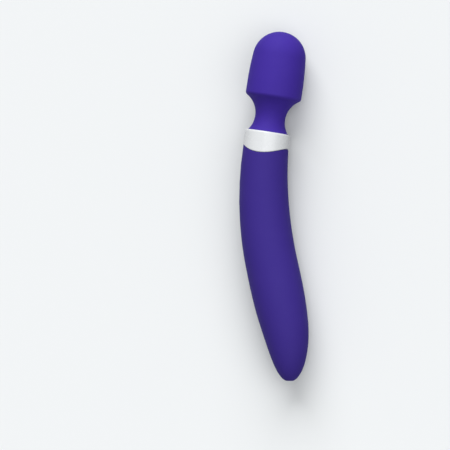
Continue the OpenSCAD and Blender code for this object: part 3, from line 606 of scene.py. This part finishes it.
spring = {"wire": 1.8, "turns": 7, "perTurn": 36}
springLow, springHigh = (inWand(corner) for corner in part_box("neck_spring"))
coil = np.linspace(0, 1, spring["turns"] * spring["perTurn"] + 1)
swing = coil * spring["turns"] * 2 * math.pi
springRadii = springHigh[0] - spring["wire"] / 2 * (1 - np.cos(aroundWire))
climb = springLow[1] + spring["wire"] / 2 + coil * (
    springHigh[1] - springLow[1] - spring["wire"])
springRings = np.stack([
    np.outer(np.cos(swing), springRadii),
    np.add.outer(climb, spring["wire"] / 2 * np.sin(aroundWire)),
    np.outer(np.sin(swing), springRadii)], -1)

# The leads turn in to the axis above the board, and spread to the motor above the head's floor.
leads = {"wire": 1.0, "pitch": 1.4, "turnIn": 7.0, "floorTop": 23.05, "steps": 90}
leadLow, leadHigh = (inWand(corner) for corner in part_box("motor_leads"))
climb = np.linspace(leadLow[1], leadHigh[1], leads["steps"])
fromAxis = (leadLow[0] + leads["wire"] / 2) * (
    1 - ease((climb - leadLow[1]) / leads["turnIn"]))
spread = leads["pitch"] + (leadHigh[2] - leads["wire"] / 2 - leads["pitch"]) * ease(
    (climb - leads["floorTop"]) / (leadHigh[1] - leads["floorTop"]))
leadRings = [np.stack([
    np.add.outer(fromAxis, leads["wire"] / 2 * np.cos(aroundWire)),
    np.add.outer(climb, 0 * aroundWire),
    np.add.outer(side * spread, leads["wire"] / 2 * np.sin(aroundWire))], -1)
    for side in (-1, 1)]

lowSeat = inWand(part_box("neck_base")[1])[1]
highSeat = inWand(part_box("head_shell_lower")[0])[1]
halves = (("Lower", "handle", "neck", lowSeat, head["meetAt"]),
          ("Upper", "neck", "head", head["meetAt"], highSeat))
for name, strands, slot, node in (("neckSpring", [springRings], "steel", "neck_spring"),
                                  ("motorLeads", leadRings, "wire", "motor_leads")):
    for half, lowBody, highBody, start, end in halves:
        points, faces = [], []
        for rings in strands:
            split = int(np.argmin(abs(rings[:, :, 1].mean(1) - head["meetAt"])))
            rings = rings[:split + 1] if half == "Lower" else rings[split:]
            first = sum(len(p) for p in points)
            last = first + (len(rings) - 1) * wireSides
            faces += [tuple(first + i for i in face)
                      for face in loftFaces(len(rings), wireSides, False)]
            faces += [tuple(range(cap, cap + wireSides)) for cap in (first, last)]
            points.append(rings.reshape(-1, 3))
        piece = makePiece(name + half, np.concatenate(points), faces, slotMaterials[slot])
        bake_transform(piece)
        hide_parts(node)
print("neck spring and motor leads built")

# A pale floor under soft studio lamps. Floor and sky are pale where they are seen,
# also in gloss and through glass, and give less light than that to the part.
studio = {
    "floor": "#e6e8e9", "floorUnder": "#707173", "floorRoughness": 0.8, "floorReach": 3.0,
    "sky": "#e6e8e9", "skyLight": 0.42,
    "lamps": [
        {"name": "keyLamp", "place": (-0.4, 2.5, 1.6), "spread": 50, "strength": 2.85},
        {"name": "fillLamp", "place": (1.6, 0.0, 2.6), "spread": 59, "strength": 1.15},
    ],
}


def seenDirectly(tree):
    path = addNode(tree, "ShaderNodeLightPath").outputs
    either = addNode(tree, "ShaderNodeMath", {
        0: path["Is Camera Ray"], 1: path["Is Glossy Ray"]}, operation="MAXIMUM")
    return addNode(tree, "ShaderNodeMath", {
        0: either.outputs[0], 1: path["Is Transmission Ray"]}, operation="MAXIMUM").outputs[0]


floorPaint = bpy.data.materials.new("paleFloor")
floorPaint.use_nodes = True
tree = floorPaint.node_tree
shader = tree.nodes["Principled BSDF"]
tone = addNode(tree, "ShaderNodeMix", {
    "Factor": seenDirectly(tree), "A": hexLinear(studio["floorUnder"]),
    "B": hexLinear(studio["floor"])}, data_type="RGBA")
tree.links.new(tone.outputs["Result"], shader.inputs["Base Color"])
shader.inputs["Roughness"].default_value = studio["floorRoughness"]
shader.inputs["Specular IOR Level"].default_value = 0.0  # no sheen toward the lamps
reach = studio["floorReach"]
floorMesh = bpy.data.meshes.new("floor")
floorMesh.from_pydata(
    [(-reach, -reach, 0), (reach, -reach, 0), (reach, reach, 0), (-reach, reach, 0)],
    [], [(0, 1, 2, 3)])
floorMesh.materials.append(floorPaint)
floor = bpy.data.objects.new("floor", floorMesh)
bpy.context.scene.collection.objects.link(floor)

world = bpy.data.worlds.new("studio")
bpy.context.scene.world = world
world.use_nodes = True
tree = world.node_tree
sky = tree.nodes["Background"]
sky.inputs["Color"].default_value = hexLinear(studio["sky"])
level = addNode(tree, "ShaderNodeMapRange", {
    "Value": seenDirectly(tree), "To Min": studio["skyLight"], "To Max": 1.0})
tree.links.new(level.outputs["Result"], sky.inputs["Strength"])
for lamp in studio["lamps"]:
    light = bpy.data.lights.new(lamp["name"], "SUN")  # far and broad, so the floor is lit evenly
    light.angle, light.energy = math.radians(lamp["spread"]), lamp["strength"]
    holder = bpy.data.objects.new(lamp["name"], light)
    holder.location = lamp["place"]
    holder.rotation_mode = "QUATERNION"
    holder.rotation_quaternion = (-Vector(lamp["place"])).to_track_quat("-Z", "Y")
    bpy.context.scene.collection.objects.link(holder)
bpy.context.scene.view_settings.view_transform = "Standard"
print("studio set")
